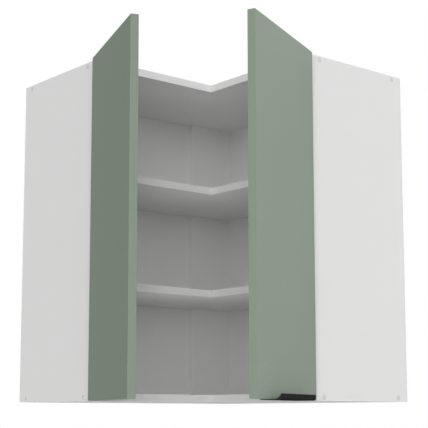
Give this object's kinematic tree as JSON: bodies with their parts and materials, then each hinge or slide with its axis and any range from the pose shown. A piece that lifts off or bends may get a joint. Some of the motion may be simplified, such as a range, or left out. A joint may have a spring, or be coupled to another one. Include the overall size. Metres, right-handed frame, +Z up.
{
  "type": "corner wall cabinet",
  "caption": "L-shaped corner wall cabinet in white board with shelves, wall hangers and sage doors on concealed hinges that fold as they open; edge handle under one door.",
  "frame": {"origin": "the room corner, at the height of the underside of the bottom panel", "axes": "+Z up; +X along the wall behind the left arm, +Y along the wall behind the right arm, both away from the corner"},
  "size_m": [0.7121, 0.7326, 0.7164],
  "materials": {
    "white_board": "satin melamine coating on chipboard",
    "white_hardboard": "smooth lacquered hardboard",
    "sage_board": "matt sage lacquer",
    "black_handle": "satin black coated profile",
    "cap_plastic": "satin",
    "hanger_plastic": "satin",
    "bumper_plastic": "soft clear",
    "plated_steel": "bright nickel plate",
    "pin_steel": "bright turned",
    "zinc_steel": "zinc plate"
  },
  "bodies": {
    "cabinet": {"end_panel_left": "white_board", "end_panel_right": "white_board", "bottom_panel": "white_board", "top_panel": "white_board", "shelf_lower": "white_board", "shelf_upper": "white_board", "corner_board": "white_board", "back_panel_left": "white_hardboard", "back_panel_right": "white_hardboard", "screw_caps_left": "cap_plastic", "screw_caps_right": "cap_plastic", "wall_hanger_left": "hanger_plastic", "wall_hanger_right": "hanger_plastic", "hinge_mounting_plates_left": "plated_steel", "hinge_arms_left": "plated_steel", "hinge_mounting_plates_right": "plated_steel", "hinge_arms_right": "plated_steel", "shelf_pins_lower": "plated_steel", "shelf_pins_upper": "plated_steel", "hinge_arm_pins_left": "pin_steel", "hinge_arm_pins_right": "pin_steel", "panel_screws_left": "zinc_steel", "hanger_hook_left": "zinc_steel", "hanger_screws_left": "zinc_steel", "hinge_plate_screws_left": "zinc_steel", "hinge_arm_screws_left": "zinc_steel", "panel_screws_right": "zinc_steel", "hanger_hook_right": "zinc_steel", "hanger_screws_right": "zinc_steel", "hinge_plate_screws_right": "zinc_steel", "hinge_arm_screws_right": "zinc_steel", "corner_board_screws": "zinc_steel", "corner_board_nails": "zinc_steel"},
    "crank_left": {"hinge_cranks_left": "plated_steel", "hinge_knee_pins_left": "pin_steel"},
    "outer_link_left": {"hinge_outer_links_left": "plated_steel", "hinge_guide_pins_left": "pin_steel"},
    "inner_link_left": {"hinge_inner_links_left": "plated_steel"},
    "guide_link_left": {"hinge_guide_links_left": "plated_steel"},
    "door_left": {"door_left": "sage_board", "hinge_cups_left": "plated_steel", "hinge_cup_pins_left": "pin_steel", "hinge_cup_screws_left": "zinc_steel", "door_bumpers_left": "bumper_plastic"},
    "crank_right": {"hinge_cranks_right": "plated_steel", "hinge_knee_pins_right": "pin_steel"},
    "outer_link_right": {"hinge_outer_links_right": "plated_steel", "hinge_guide_pins_right": "pin_steel"},
    "inner_link_right": {"hinge_inner_links_right": "plated_steel"},
    "guide_link_right": {"hinge_guide_links_right": "plated_steel"},
    "door_right": {"door_right": "sage_board", "hinge_cups_right": "plated_steel", "hinge_cup_pins_right": "pin_steel", "hinge_cup_screws_right": "zinc_steel", "door_bumpers_right": "bumper_plastic", "edge_handle": "black_handle", "handle_screws": "zinc_steel"}
  },
  "joints": [
    {"name": "crank_left_turn", "type": "hinge", "parent": "cabinet", "child": "crank_left", "pos_m": [0.571, 0.278, 0.358], "axis": [0, 0, 1], "range_deg": [-7, 110]},
    {"name": "outer_link_left_turn", "type": "hinge", "parent": "crank_left", "child": "outer_link_left", "pos_m": [0.57886, 0.29376, 0.358], "axis": [0, 0, 1], "range_deg": [-110, 7]},
    {"name": "inner_link_left_turn", "type": "hinge", "parent": "crank_left", "child": "inner_link_left", "pos_m": [0.5816, 0.30128, 0.358], "axis": [0, 0, 1], "range_deg": [-110, 7]},
    {"name": "guide_link_left_turn", "type": "hinge", "parent": "cabinet", "child": "guide_link_left", "pos_m": [0.558, 0.273, 0.358], "axis": [0, 0, 1], "range_deg": [-7, 110]},
    {"name": "door_left_turn", "type": "hinge", "parent": "outer_link_left", "child": "door_left", "pos_m": [0.60736, 0.30776, 0.358], "axis": [0, 0, 1], "range_deg": [-7, 110]},
    {"name": "crank_right_turn", "type": "hinge", "parent": "cabinet", "child": "crank_right", "pos_m": [0.278, 0.571, 0.358], "axis": [0, 0, 1], "range_deg": [-114, 3]},
    {"name": "outer_link_right_turn", "type": "hinge", "parent": "crank_right", "child": "outer_link_right", "pos_m": [0.29317, 0.57995, 0.358], "axis": [0, 0, 1], "range_deg": [-3, 114]},
    {"name": "inner_link_right_turn", "type": "hinge", "parent": "crank_right", "child": "inner_link_right", "pos_m": [0.30048, 0.5832, 0.358], "axis": [0, 0, 1], "range_deg": [-3, 114]},
    {"name": "guide_link_right_turn", "type": "hinge", "parent": "cabinet", "child": "guide_link_right", "pos_m": [0.273, 0.558, 0.358], "axis": [0, 0, 1], "range_deg": [-114, 3]},
    {"name": "door_right_turn", "type": "hinge", "parent": "outer_link_right", "child": "door_right", "pos_m": [0.30717, 0.60845, 0.358], "axis": [0, 0, 1], "range_deg": [-114, 3]}
  ],
  "couplings": [
    {"joint": "crank_left_turn", "follows": "door_left_turn", "ratio": 1},
    {"joint": "outer_link_left_turn", "follows": "door_left_turn", "ratio": -1},
    {"joint": "inner_link_left_turn", "follows": "door_left_turn", "ratio": -1},
    {"joint": "guide_link_left_turn", "follows": "door_left_turn", "ratio": 1},
    {"joint": "crank_right_turn", "follows": "door_right_turn", "ratio": 1},
    {"joint": "outer_link_right_turn", "follows": "door_right_turn", "ratio": -1},
    {"joint": "inner_link_right_turn", "follows": "door_right_turn", "ratio": -1},
    {"joint": "guide_link_right_turn", "follows": "door_right_turn", "ratio": 1}
  ]
}
